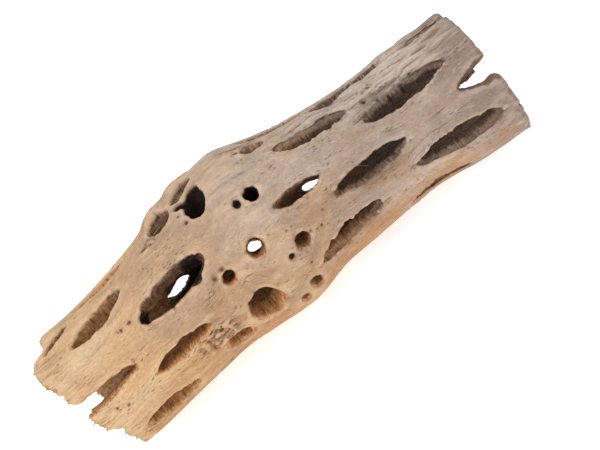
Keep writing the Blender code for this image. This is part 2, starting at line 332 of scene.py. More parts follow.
# a block whose face is the splintered break
def tearBlock():
    bm = bmesh.new()
    cells = tear["cells"]
    bmesh.ops.create_grid(bm, x_segments=cells, y_segments=cells, size=tear["width"] / 2)
    for vert in bm.verts:
        place = Vector((0.0, vert.co.x, vert.co.y))
        x = float(tornReaches(math.degrees(math.atan2(place.z, place.y))))
        x += sum(height * noise.noise(place / size) for height, size in tear["grains"])
        vert.co = restMatrix @ Vector((x, place.y, place.z))
    pushed = bmesh.ops.extrude_face_region(bm, geom=bm.faces[:])["geom"]
    for item in pushed:
        if isinstance(item, bmesh.types.BMVert):
            item.co.x = tear["back"]
    return newObject("tearBlock", bm)


def cutWith(piece, cutter):
    cut = piece.modifiers.new(cutter.name, "BOOLEAN")
    cut.operation = "DIFFERENCE"
    cut.object = cutter
    cut.solver = "EXACT"
    cut.use_self = cutter.name == "windowCutters"  # some windows run into one another


# puts what the modifiers make into the piece's own mesh
def settle(piece, *spent):
    evaluated = piece.evaluated_get(bpy.context.evaluated_depsgraph_get())
    made = bpy.data.meshes.new_from_object(evaluated)
    old = piece.data
    piece.modifiers.clear()
    piece.data = made
    made.name = piece.name
    bpy.data.meshes.remove(old)
    for cutter in spent:
        bpy.data.objects.remove(cutter)


def roughStem():
    piece = tube("chollaStem", stem, skinPoint)
    cutters = [sawBlock(), tube("boreCutter", bore, borePoint), windowCutters()]
    for cutter in cutters:
        cutWith(piece, cutter)
    even = piece.modifiers.new("even", "REMESH")
    even.mode = "VOXEL"
    even.voxel_size = fineMesh["voxel"]
    soften = piece.modifiers.new("soften", "SMOOTH")
    soften.factor = fineMesh["softening"]
    soften.iterations = fineMesh["smoothing"]
    settle(piece, *cutters)
    return piece


def read(mesh, what):
    values = np.empty(len(mesh.vertices) * 3)
    (mesh.vertices if what == "co" else mesh.vertex_normals).foreach_get(what, values)
    return values.reshape(-1, 3)


def noiseOver(places, scale, offset=0.0):
    return np.array([noise.noise(place) for place in (places * scale + offset).tolist()])


def smoothStep(values, start, end):
    t = np.clip((values - start) / (end - start), 0.0, 1.0)
    return t * t * (3 - 2 * t)


# where points are in the stem's own terms: place along it, turn, distance from its middle, and depth
# under the skin
def stemPlaces(points):
    turned = np.array(restMatrix.to_3x3())
    local = (points - np.array(stem["restPlace"])) @ turned
    steps = np.linspace(-stem["tableReach"], stem["tableReach"], stem["tableSteps"])
    bow = np.interp(local[:, 0], steps, [station(step, 2) for step in steps])
    swell = np.interp(local[:, 0], steps, [station(step, 1) for step in steps])
    y, z = local[:, 1], local[:, 2] + bow
    turn = np.degrees(np.arctan2(z, y))
    radius = np.hypot(y, z)
    off = turnFrom(stem["undersideTurn"], turn) / stem["undersideSpread"]
    heldBack = stem["undersideShare"] * np.exp(-(off**2))
    skin = swell - np.maximum(swell - stem["plainRadius"], 0.0) * heldBack
    ring = np.stack([local[:, 0] * bore["grainStretch"], swell * y / radius, swell * z / radius], axis=1)
    skin += stem["skinWave"] * noiseOver(ring, 1 / stem["skinWavelength"])
    return {"x": local[:, 0], "turn": turn, "radius": radius, "depth": skin - radius, "swell": swell}


# how far round the skin each point is from a turn
def roundFrom(places, atTurn):
    return np.radians(turnFrom(atTurn, places["turn"])) * places["swell"]


grainFlow = {
    # how much of a window's half width the grain is pushed aside by
    "slender": 0.9,
    "round": 0.5,
    # where it parts ahead of a window, in half lengths, and how roundly
    "ahead": 1.12,
    "parting": 0.7,
    # how far the push reaches and how soon it changes sides, in half widths
    "fading": 1.8,
    "changing": 0.35,
    "lens": 0.62,
    # half lengths and half widths past which a window has no effect
    "reach": (2, 7),
    "farFromRims": 0.05,
}


# the grain parts round each window and closes again behind it, so a pattern is read from where it would
# be without the window
def followGrain(places):
    x, turn = places["x"].copy(), places["turn"].copy()
    rim = np.full(len(x), grainFlow["farFromRims"])
    outward = np.zeros(len(x))
    for row in (*windows["shownSide"], *windows["bulge"], *windows["farSide"]):
        atX, atTurn, length, width, tilt = row[:5]
        reach, half, lean = length / 2, width / 2, math.radians(tilt)
        slender = reach > windows["roundWindow"] * half
        dx, dw = places["x"] - atX, roundFrom(places, atTurn)
        near = (np.abs(dx) < reach * grainFlow["reach"][0]) & (np.abs(dw) < half * grainFlow["reach"][1])
        u = dx[near] * math.cos(lean) - dw[near] * math.sin(lean)
        v = -dx[near] * math.sin(lean) - dw[near] * math.cos(lean)
        parted = np.clip(1 - (u / (grainFlow["ahead"] * reach)) ** 2, 0.0, None) ** grainFlow["parting"]
        beside = np.exp(-np.maximum(np.abs(v) - half, 0) / (grainFlow["fading"] * half))
        share = grainFlow["slender" if slender else "round"]
        pushed = share * parted * half * np.tanh(v / (grainFlow["changing"] * half)) * beside
        x[near] += pushed * math.sin(lean)
        turn[near] += np.degrees(pushed * math.cos(lean) / places["swell"][near])
        lens = half * np.clip(1 - (u / reach) ** 2, 0.0, None) ** grainFlow["lens"]
        gap = np.where(np.abs(u) < reach, np.abs(v) - lens, np.hypot(np.abs(u) - reach, v))
        closer = gap < rim[near]
        rim[near] = np.where(closer, gap, rim[near])
        sloping = slender and atX > shoulder["from"]
        away = -np.sign(v) * min(max(atTurn / shoulder["turn"], -1.0), 1.0) * sloping
        outward[near] = np.where(closer, away, outward[near])
    return x, turn, rim, outward


# points on a straightened stem: across the grain they keep the radius, along it they follow the grain
def grainPoints(x, turn, radius):
    angle = np.radians(turn)
    return np.stack([x, np.cos(angle) * radius, np.sin(angle) * radius], axis=1)


# the same for the walls of the windows, drawn together so that a pattern runs inwards in strands
def wallPoints(places):
    radius = places["swell"] + (places["radius"] - places["swell"]) / relief["strandStretch"]
    return grainPoints(places["x"], places["turn"], radius)


relief = {
    # height, length and width
    "ridges": ((0.00024, 0.022, 0.0052), (0.00012, 0.012, 0.0024), (0.00008, 0.006, 0.0014)),
    "bore": ((0.0008, 0.01, 0.003), (0.00045, 0.005, 0.0014)),
    # height and size, and the offset in the noise
    "wall": ((0.00045, 0.0019, 11.306), (0.00035, 0.001, 11.303)),
    "strandStretch": 3,
    # depths under the skin between which the skin ends, and those between which the bore starts
    "skinDepth": (0.0006, 0.0022),
    "boreDepth": (0.0095, 0.0112),
    # height, length and width of the furrows that open towards the torn end, how far they reach back,
    # and the most that they rise
    "furrows": (0.0013, 0.024, 0.002),
    "furrowReach": 0.02,
    "furrowRise": 0.15,
    # depth and size of the chips out of the sawn edge, and how far along the skin they reach
    "chips": (0.003, 0.0042, 0.0045),
    "chipRise": -0.1,
    # where in the noise each of them is read
    "offsets": {"ridges": 3.7, "bore": 23.1, "rims": 5.5, "furrows": 41.0, "rugged": 17.0,
                "net": 31.0, "chips": 61.0},
    # place, turn, half length, half width, depth: soft hollows worn into the skin
    "hollows": (
        (0.074, -38.5, 0.013, 0.0022, 0.0012), (0.086, -36, 0.02, 0.0036, 0.0013),
        (0.085, -68, 0.009, 0.0022, 0.0014), (0.03, 54, 0.017, 0.0028, 0.001),
        (0.005, -37, 0.006, 0.001, 0.0009), (-0.01, -38, 0.0035, 0.0008, 0.0008),
        (-0.095, -21, 0.02, 0.0024, 0.0008), (-0.075, 40, 0.018, 0.0024, 0.0008),
        (-0.0235, -80, 0.0085, 0.008, -0.0034), (-0.04, -77, 0.008, 0.006, -0.0034),
        (-0.113, -72, 0.009, 0.006, -0.0012), (0.11, 10, 0.016, 0.003, -0.0006),
        (0.01, -68, 0.014, 0.005, 0.0012),
    ),
    # place, turn, half length, half width, height of the rugged ridges near the saw cut
    "rugged": (
        (0.095, -62, 0.036, 0.015, 0.0026), (0.056, -60, 0.026, 0.011, 0.0019),
        (0.115, -36, 0.015, 0.009, 0.0014), (0.033, -52, 0.014, 0.006, 0.001),
        (-0.005, -75, 0.03, 0.012, 0.0012),
    ),
    "ruggedSize": (0.013, 0.0022),
    # place, turn, half length, half width, depth: patches eaten into a fine net
    "nets": (
        (-0.049, 38.5, 0.0135, 0.0066, 0.0014), (-0.0465, -53.5, 0.009, 0.003, 0.0016),
    ),
    "netSize": (1 / 290, 1 / 720),
    "netPatch": (0.2, 0.7),
    "netCut": (-0.05, 0.25),
}
# the ragged rims of the windows, and how much less ragged the sloping side is
ragged = {"height": 0.00085, "size": 0.0017, "width": 0.0012, "depth": (0.0015, 0.004),
          "share": 0.7, "less": 0.5}
# the worn slope into a slender window, on its side further from the middle of the shown side
shoulder = {"drop": 0.0019, "width": 0.0034, "depth": (0.002, 0.005), "turn": 22.0, "from": 0.025}


# place, turn and size of the small pits that show on the skin
pits = (
    (-0.0296, -46.5, 0.0009), (-0.0281, -37, 0.0013), (-0.0137, 5, 0.0009), (0.0142, 21.5, 0.0008),
    (0.0172, 24, 0.0008), (0.0198, 24, 0.0009), (0.0706, -38.5, 0.0013), (0.081, -31.5, 0.0012),
    (0.0885, -32, 0.0014), (0.076, -33.5, 0.0011), (0.095, -34.5, 0.001), (-0.0337, 5, 0.0012),
    (-0.0283, 3.5, 0.0012), (-0.0268, 14, 0.001), (-0.0822, -18.5, 0.0011), (-0.077, -18, 0.0012),
    (0.0056, 38, 0.0009), (0.0092, -58, 0.0015), (0, 56, 0.0009), (-0.106, 23, 0.001),
    (-0.101, 27, 0.0009),
)

# place, turn, half length, half width of soft patches: above 0 bleached, below 0 browned, except the one at
# 0.057, 20.5, which is a painted shade
tones = (
    (-0.104, -24, 0.019, 0.01, 0.55), (-0.083, 9, 0.02, 0.007, -0.15), (-0.095, 40, 0.016, 0.006, 0.35),
    (-0.054, 8, 0.012, 0.005, 0.25), (-0.04, 35, 0.011, 0.006, -0.25), (-0.012, -72, 0.026, 0.011, 0.3),
    # the patch at 0.057, 20.5 darkens the slope below the window at 0.055, 11: a painted shade
    (0.01, -8, 0.01, 0.006, -0.3), (0.015, 38, 0.013, 0.008, 0.2), (0.057, 20.5, 0.017, 0.0042, -1.1),
    (0.03, 3, 0.015, 0.004, 0.25), (0.064, -15, 0.015, 0.006, -0.25), (0.095, -58, 0.034, 0.016, 0.55),
    (-0.006, 50, 0.013, 0.009, -0.8), (-0.03, -25, 0.006, 0.005, -0.25),
    (-0.088, 26, 0.024, 0.006, 0.4), (-0.108, 14, 0.01, 0.005, 0.4), (0.07, 46, 0.024, 0.008, 0.45),
    (0.076, 16, 0.02, 0.006, 0.4), (0.098, 10, 0.012, 0.007, -0.4), (0.118, 24, 0.01, 0.01, -0.3),
    (0.106, -6, 0.012, 0.004, -0.25), (0.04, -20, 0.015, 0.004, -0.3),
    (-0.0285, 3, 0.0024, 0.001, -1.1), (-0.0335, 4, 0.0018, 0.003, -0.9),
    (-0.039, 20, 0.003, 0.0014, -0.9), (-0.044, 14, 0.0016, 0.003, -0.7),
    (-0.046, 26, 0.005, 0.0012, -0.8), (0, 30, 0.01, 0.003, -0.35),
)


# how far each point is from one place on the stem, over its skin
def spread(places, atX, atTurn):
    return np.hypot(places["x"] - atX, roundFrom(places, atTurn))


def patch(places, row):
    atX, atTurn, reach, half = row[:4]
    return np.exp(-(((places["x"] - atX) / reach) ** 2) - (roundFrom(places, atTurn) / half) ** 2)


def ridgesOver(grain, along, over, kind):
    return noiseOver(grain, np.array([1 / along, 1 / over, 1 / over]), relief["offsets"][kind])


# moves every point a little along its normal: ridges of grain, coarse walls, ragged rims, hollows
def roughen(piece):
    mesh = piece.data
    points, normals = read(mesh, "co"), read(mesh, "vector")
    places = stemPlaces(points)
    depth = places["depth"]
    x, turn, rim, outward = followGrain(places)
    onSkin = 1 - smoothStep(depth, *relief["skinDepth"])
    inBore = smoothStep(depth, *relief["boreDepth"])
    onWall = (1 - onSkin) * (1 - inBore)
    grain = grainPoints(x, turn, places["radius"])
    walls = wallPoints(places)
    move = np.zeros(len(points))
    for height, along, over in relief["ridges"]:
        move += onSkin * height * ridgesOver(grain, along, over, "ridges")
    for height, size, offset in relief["wall"]:
        move += onWall * height * noiseOver(walls, 1 / size, offset)
    for height, along, over in relief["bore"]:
        move += inBore * height * ridgesOver(grain, along, over, "bore")
    atRim = np.exp(-((rim / ragged["width"]) ** 2)) * (1 - smoothStep(depth, *ragged["depth"]))
    uneven = ragged["height"] * noiseOver(points, 1 / ragged["size"], relief["offsets"]["rims"])
    move += atRim * uneven * (ragged["share"] - ragged["less"] * outward)
    onShoulder = np.exp(-((np.maximum(rim, 0) / shoulder["width"]) ** 2))
    onShoulder *= 1 - smoothStep(depth, *shoulder["depth"])
    move -= shoulder["drop"] * onShoulder * np.clip(outward, 0.0, 1.0)
    for atX, atTurn, size in pits:
        move -= onSkin * size * np.exp(-((spread(places, atX, atTurn) / size) ** 2))
    height, along, over = relief["furrows"]
    left = places["x"] - tornReaches(places["turn"])
    opening = 1 - smoothStep(left, 0.0, relief["furrowReach"])
    furrow = ridgesOver(grain, along, over, "furrows")
    move += onSkin * opening * height * np.minimum(furrow, relief["furrowRise"])
    for row in relief["hollows"]:
        move -= onSkin * patch(places, row) * row[4]
    ridges = ridgesOver(grain, *relief["ruggedSize"], "rugged")
    for row in relief["rugged"]:
        move += onSkin * patch(places, row) * row[4] * ridges
    cut = smoothStep(ridgesOver(grain, *relief["netSize"], "net"), *relief["netCut"])
    for row in relief["nets"]:
        move -= onSkin * smoothStep(patch(places, row), *relief["netPatch"]) * cut * row[4]
    chipped, size, reach = relief["chips"]
    byTheSaw = smoothStep(points[:, 0], stem["sawnEnd"] - reach, stem["sawnEnd"])
    chip = noiseOver(points, 1 / size, relief["offsets"]["chips"])
    move -= onSkin * byTheSaw * chipped * np.maximum(chip, relief["chipRise"])
    points += normals * move[:, None]
    points[:, 2] = np.maximum(points[:, 2], 0.0)
    mesh.vertices.foreach_set("co", points.ravel())
    mesh.update()


# the clean saw cut, made after the roughening so that its edge stays crisp
def sawOff(piece):
    bm = bmesh.new()
    bm.from_mesh(piece.data)
    cut = bmesh.ops.bisect_plane(bm, geom=[*bm.verts, *bm.edges, *bm.faces], dist=1e-6, clear_outer=True,
                                 plane_co=(stem["sawnEnd"], 0.0, 0.0), plane_no=(1.0, 0.0, 0.0))
    rim = [item for item in cut["geom_cut"] if isinstance(item, bmesh.types.BMEdge)]
    bmesh.ops.triangle_fill(bm, use_beauty=True, edges=rim, normal=(1.0, 0.0, 0.0))
    bm.to_mesh(piece.data)
    print("edges left open by the saw", sum(edge.is_boundary for edge in bm.edges))
    bm.free()


# how far each point stands out of its neighbours' plane: above 0 on standing edges, painted paler for wear
# and as a painted highlight, below 0 in creases, which get a painted shade
def standingOut(mesh, points, normals):
    ends = np.empty(len(mesh.edges) * 2, dtype=np.int32)
    mesh.edges.foreach_get("vertices", ends)
    a, b = ends.reshape(-1, 2).T
    count = np.maximum(np.bincount(a, minlength=len(points)) + np.bincount(b, minlength=len(points)), 1)

    def shared(values):
        return (np.bincount(a, values[b], len(points)) + np.bincount(b, values[a], len(points))) / count

    middle = np.stack([shared(points[:, axis]) for axis in range(3)], axis=1)
    out = ((points - middle) * normals).sum(axis=1)
    for _ in range(surface["softening"]):
        out = 0.5 * out + 0.5 * shared(out)
    return out


# place, turn, radius of the black stains in and round the windows that water stood in
stains = (
    (-0.0395, -11, 0.0098), (-0.069, -9, 0.0062), (-0.056, 0, 0.004), (-0.045, 186, 0.02),
    (-0.0205, -45.5, 0.019), (-0.035, -57, 0.005), (0.0033, -22.5, 0.008),
)


def writeNumbers(mesh, name, values):
    kind = "FLOAT" if values.ndim == 1 else "FLOAT_VECTOR"
    field = mesh.attributes.new(name, kind, "POINT")
    field.data.foreach_set("value" if values.ndim == 1 else "vector", values.ravel())


# what the wood's material reads at each point; lengths are in millimetres there
surface = {
    "perMetre": 1000,
    "softening": 3,
    # distances from the saw cut between which the paler edges (wear and painted highlight) and the painted
    # crease shade fade, and how thin the cut face's own skin is
    "edgeFade": (0.003, 0.001),
    "sawnSkin": 0.0004,
    "slopeReach": 0.006,
    # how far behind the torn line the break's face may lie, and how squarely it faces the end
    "tornReach": (0.004, 0.008),
    "tornFacing": (0.3, 0.75),
    "stainCore": 1.4,
    # how far the painted shade reaches round the pits, and the span over which it fills the net's cuts
    "pitShade": 0.9,
    "netShade": (0.0, 0.3),
    # blind holes: reach in widths, depths between which they darken with painted shade, and how much
    "holes": {"pinHoles": (0.7, 0.0006, 0.0022, 1.0), "bulge": (0.6, 0.001, 0.0045, 0.62)},
}


def describeSurface(piece):
    mesh = piece.data
    points, normals = read(mesh, "co"), read(mesh, "vector")
    places = stemPlaces(points)
    depth, sawnEnd = places["depth"], stem["sawnEnd"]
    x, turn, rim, outward = followGrain(places)
    grain = grainPoints(x, turn, places["radius"])
    writeNumbers(mesh, "grain", grain * surface["perMetre"])
    writeNumbers(mesh, "wall", wallPoints(places) * surface["perMetre"])
    writeNumbers(mesh, "depth", depth * surface["perMetre"])
    fade, faded = surface["edgeFade"]
    away = 1 - smoothStep(points[:, 0], sawnEnd - fade, sawnEnd - faded)
    writeNumbers(mesh, "edge", standingOut(mesh, points, normals) * surface["perMetre"] * away)
    byRim = np.exp(-((np.maximum(rim, 0) / surface["slopeReach"]) ** 2))
    writeNumbers(mesh, "slope", np.clip(outward, 0.0, 1.0) * byRim)
    left = places["x"] - tornReaches(places["turn"])
    torn = (1 - smoothStep(left, *surface["tornReach"])) * smoothStep(-normals[:, 0], *surface["tornFacing"])
    sawn = smoothStep(points[:, 0], sawnEnd - surface["sawnSkin"], sawnEnd)
    writeNumbers(mesh, "broken", np.maximum(torn, sawn))
    stain = np.zeros(len(points))
    for atX, atTurn, size in stains:
        stain = np.maximum(stain, surface["stainCore"] - spread(places, atX, atTurn) / size)
    writeNumbers(mesh, "stain", np.clip(stain, 0.0, 1.0))
    # painted shade: darker in the pits, deep in the blind holes and in the net's cuts
    dirt = np.zeros(len(points))
    for atX, atTurn, size in pits:
        dirt = np.maximum(dirt, np.exp(-((spread(places, atX, atTurn) / (size * surface["pitShade"])) ** 2)))
    for kind, (reach, start, full, share) in surface["holes"].items():
        for atX, atTurn, length, width in [row[:4] for row in windows[kind] if len(row) > 5]:
            near = spread(places, atX, atTurn) < max(length, width) * reach
            dark = share * smoothStep(depth, start, full)
            dirt = np.where(near, np.maximum(dirt, dark), dirt)
    cut = smoothStep(ridgesOver(grain, *relief["netSize"], "net"), *surface["netShade"])
    for row in relief["nets"]:
        dirt = np.maximum(dirt, smoothStep(patch(places, row), *relief["netPatch"]) * cut)
    writeNumbers(mesh, "dirt", dirt)
    writeNumbers(mesh, "tone", sum(patch(places, row) * row[4] for row in tones))


def countTriangles(piece):
    return sum(len(polygon.vertices) - 2 for polygon in piece.data.polygons)


def thin(piece, most):
    triangles = countTriangles(piece)
    if triangles > most:
        fewer = piece.modifiers.new("fewer", "DECIMATE")
        fewer.ratio = most / triangles
        settle(piece)
    print("triangles before and after thinning", triangles, countTriangles(piece))


chollaStem = roughStem()
print("stem cut", len(chollaStem.data.vertices))
roughen(chollaStem)
print("stem roughened")
sawOff(chollaStem)
tearing = tearBlock()
cutWith(chollaStem, tearing)
settle(chollaStem, tearing)
print("ends cut", len(chollaStem.data.vertices))
thin(chollaStem, fineMesh["mostTriangles"])
describeSurface(chollaStem)
chollaStem.data.shade_smooth()
chollaStem.data.set_sharp_from_angle(angle=math.radians(fineMesh["crispFrom"]))
print("stem described")


# Materials
def newMaterial(name):
    made = bpy.data.materials.new(name)
    made.use_nodes = True
    return made, made.node_tree, made.node_tree.nodes["Principled BSDF"]


def addNode(tree, kind, inputs=None, **settings):
    made = tree.nodes.new(kind)
    for name, value in settings.items():
        setattr(made, name, value)
    for socket, value in (inputs or {}).items():
        if isinstance(value, bpy.types.NodeSocket):
            tree.links.new(value, made.inputs[socket])
        else:
            made.inputs[socket].default_value = value
    return made


def mixColour(tree, factor, first, second, kind="MIX"):
    made = addNode(tree, "ShaderNodeMix", {0: factor, 6: first, 7: second},
                   data_type="RGBA", blend_type=kind)
    return made.outputs[2]


def remap(tree, value, low, high, toLow=0.0, toHigh=1.0):
    made = addNode(tree, "ShaderNodeMapRange", {0: value, 1: low, 2: high, 3: toLow, 4: toHigh},
                   interpolation_type="SMOOTHSTEP")
    return made.outputs[0]


def sums(tree, kind, first, second=0.0):
    return addNode(tree, "ShaderNodeMath", {0: first, 1: second}, operation=kind).outputs[0]


# scale along and across the grain, detail, roughness, distortion; the vectors are in millimetres, but in
# metres for clouds, blotches, smudges and mottling
patterns = {
    "fine": (0.16, 2, 3, 0.6, 0),
    "streaks": (0.085, 0.95, 3, 0.55, 0),
    "bands": (0.04, 0.26, 3, 0.5, 0.5),
    "porePatches": (0.05, 0.11, 2, 0.5, 0),
    "checkLines": (0.055, 0.6, 2, 0.4, 0),
    "checkPatches": (0.045, 0.14, 1, 0.5, 0),
    "clouds": (28, 60, 2, 0.5, 0),
    "blotches": (45, 95, 4, 0.5, 0),
    "smudges": (150, 210, 4, 0.6, 0),
    "weave": (0.6, 1.4, 3, 0.75, 0),
    "rays": (0.95, 0.42, 4, 0.65, 0.8),
    "grit": (2.6, 1.6, 3, 0.7, 0),
    "netLines": (0.16, 0.95, 3, 0.55, 0),
    "mottling": (400, 400, 2, 0.5, 0),
}


def noiseAt(tree, vector, name):
    along, over, detail, roughness, distortion = patterns[name]
    scale = {"Vector": vector, "Scale": (along, over, over)}
    stretched = addNode(tree, "ShaderNodeMapping", scale).outputs[0]
    made = addNode(tree, "ShaderNodeTexNoise", {"Vector": stretched, "Scale": 1.0, "Detail": detail,
                                                "Roughness": roughness, "Distortion": distortion})
    return made.outputs["Fac"]


# pores and fine cracks in the wood: the pores' grid, then the values between which each fades in
marks = {"poreGrid": (0.26, 0.7, 0.7), "pores": (0.3, 0.13), "porePatches": (0.48, 0.62),
         "checks": (0.012, 0.003), "checkPatches": (0.6, 0.72), "depth": 1.3, "share": 0.55}


# Wood fibres, from a vector in millimetres whose X runs along the grain
def fibreGroup():
    group = bpy.data.node_groups.new("woodFibres", "ShaderNodeTree")
    group.interface.new_socket("Grain", in_out="INPUT", socket_type="NodeSocketVector")
    for name in ("Fibres", "Streaks", "Bands", "Pores", "Checks", "Height"):
        group.interface.new_socket(name, in_out="OUTPUT", socket_type="NodeSocketFloat")
    start = group.nodes.new("NodeGroupInput")
    end = group.nodes.new("NodeGroupOutput")
    grain = start.outputs["Grain"]
    fine, streaks, bands = (noiseAt(group, grain, name) for name in ("fine", "streaks", "bands"))
    patches = remap(group, noiseAt(group, grain, "porePatches"), *marks["porePatches"])
    grid = addNode(group, "ShaderNodeMapping", {"Vector": grain, "Scale": marks["poreGrid"]}).outputs[0]
    cells = addNode(group, "ShaderNodeTexVoronoi", {"Vector": grid, "Scale": 1.0}).outputs["Distance"]
    pores = sums(group, "MULTIPLY", remap(group, cells, *marks["pores"]), patches)
    offLine = sums(group, "ABSOLUTE", sums(group, "SUBTRACT", noiseAt(group, grain, "checkLines"), 0.5))
    patches = remap(group, noiseAt(group, grain, "checkPatches"), *marks["checkPatches"])
    checks = sums(group, "MULTIPLY", remap(group, offLine, *marks["checks"]), patches)
    sunk = sums(group, "MULTIPLY", sums(group, "ADD", pores, checks), marks["depth"])
    height = sums(group, "SUBTRACT", sums(group, "ADD", fine, streaks), sunk)
    outputs = {"Fibres": fine, "Streaks": streaks, "Bands": bands, "Pores": pores, "Checks": checks,
               "Height": height}
    for name, value in outputs.items():
        group.links.new(value, end.inputs[name])
    return group


wood = {
    "warm": (0.56, 0.342, 0.17, 1.0),
    "rosy": (0.35, 0.212, 0.128, 1.0),
    "tan": (0.43, 0.268, 0.15, 1.0),
    "grey": (0.325, 0.246, 0.2, 1.0),
    "endGrey": (0.255, 0.188, 0.152, 1.0),
    # the pale grey top is a painted highlight, and the dark orange underside a painted warm shade
    "greyTop": (0.45, 0.375, 0.325, 1.0),
    "underside": (0.4, 0.21, 0.09, 1.0),
    "pale": (0.7, 0.51, 0.32, 1.0),
    "palePlain": (0.57, 0.47, 0.4, 1.0),
    "brown": (0.25, 0.145, 0.08, 1.0),
    "dull": (0.3, 0.2, 0.136, 1.0),
    "groove": (0.15, 0.082, 0.044, 1.0),
    "wallWarm": (0.54, 0.255, 0.092, 1.0),
    "wallGrey": (0.155, 0.098, 0.065, 1.0),
    "wallEnd": (0.27, 0.155, 0.1, 1.0),
    "strandWarm": (0.8, 0.5, 0.26, 1.0),
    "strandGrey": (0.44, 0.325, 0.25, 1.0),
    "deepWarm": (0.46, 0.225, 0.098, 1.0),
    "deepGrey": (0.17, 0.105, 0.074, 1.0),
    "gapWarm": (0.15, 0.058, 0.02, 1.0),
    "gapGrey": (0.052, 0.031, 0.022, 1.0),
    "tornFace": (0.55, 0.35, 0.19, 1.0),
    "sawnFace": (0.36, 0.262, 0.192, 1.0),
    "black": (0.018, 0.01, 0.008, 1.0),
    "roughness": 0.82,
    "roughnessSpan": (0.2, 0.8, 0.76, 0.92),
    "specular": 0.22,
    "bumpFibres": 0.0003,
    "bumpWalls": 0.00055,
    "bumpDepth": (0.5, 2.5),
    # how much the clouds shift the colours along the stem, and the share of that in height
    "drift": 0.09,
    "driftUp": 0.3,
    "palePlainFrom": (-0.01, 0.06),
    # where the walls turn grey: along the stem, and high up, where the dark grey is a painted shade
    "greyAlong": (-0.02, 0.065),
    "greyShadeHigh": (0.06, 0.072, 0.0, 0.8),
    "weaveSpan": (0.3, 0.7, 0.82, 1.13),
    # the rim: how ragged it is, where the skin starts to end, where it ends by a plain and by a worn wall
    "rimRag": 1.6,
    "rimStart": 0.7,
    "rimEnds": (1.7, 5.2),
    "endShare": 0.85,
    "stainRag": 1.5,
}
# Coats of colour, laid over one another. Each row: what shows it, its values where it starts and where it
# is full, its share there, its colour, and for some what else limits it, with that one's span and shares.
# Places are in metres, depths under the skin in millimetres.
coats = {
    # warm and pale by the torn end, rosy in the middle, grey by the saw cut, a painted highlight in pale
    # grey along the top, and a painted warm shade in dark orange along the underside
    "skin": (
        ("along", -0.095, -0.03, 1, "rosy"),
        ("along", -0.01, 0.08, 1, "grey"),
        ("blotches", 0.44, 0.62, 1, "tan", ("along", 0.02, 0.07, 0.65, 0.2)),
        ("high", 0.052, 0.072, 0.62, "greyTop", ("along", -0.06, 0.03, 0.2, 1)),
        ("high", 0.05, 0.016, 0.95, "underside"),
        ("along", 0.088, 0.122, 1, "endGrey"),
        ("tone", 0, 1, 1, "pale"),
        ("tone", 0, -1, 1, "brown"),
        ("Bands", 0.52, 0.72, 0.26, "pale"),
        ("smudges", 0.5, 0.68, 0.42, "dull", ("along", -0.07, 0.01, 0.35, 1)),
        ("smudges", 0.5, 0.26, 0.26, "pale"),
        ("Streaks", 0.5, 0.3, 0.2, "dull"),
        ("Fibres", 0.5, 0.26, 0.18, "groove"),
    ),
    # paler on standing edges, partly wear and partly a painted highlight; darker in creases, a painted shade
    "wearHighlightAndCreaseShade": (
        ("edge", 0.02, 0.12, 0.36, "pale"),
        ("edge", -0.02, -0.1, 0.5, "groove"),
    ),
    # brown strands that run inwards, with dark gaps between them
    "walls": (
        ("depth", 2.5, 10, 1, "deep"),
        ("depth", 9.5, 12.5, 0.35, "deepGrey"),
        ("rays", 0.48, 0.62, 1, "strand", ("depth", 3, 9.5, 0.7, 0.35)),
        ("rays", 0.48, 0.34, 0.7, "gap"),
        ("grit", 0.47, 0.33, 0.65, "gap"),
        ("offLine", 0.045, 0.01, 0.6, "strand", ("depth", 6, 9.5)),
        ("x", 0.1, 0.118, 0.65, "wallEnd"),
    ),
    "ends": (
        ("along", -0.02, 0.02, 1, "sawnFace"),
        ("grit", 0.5, 0.34, 0.55, "brown"),
        ("rays", 0.53, 0.36, 0.6, "brown"),
    ),
    # painted shade in the pits, blind holes and net cuts, in the gap colour, then the real black stains
    "dirt": (
        ("dirt", 0.25, 0.85, 0.92, "gap"),
        ("wet", 0.15, 0.85, 1, "black", ("depth", 0.5, 2.4)),
    ),
}


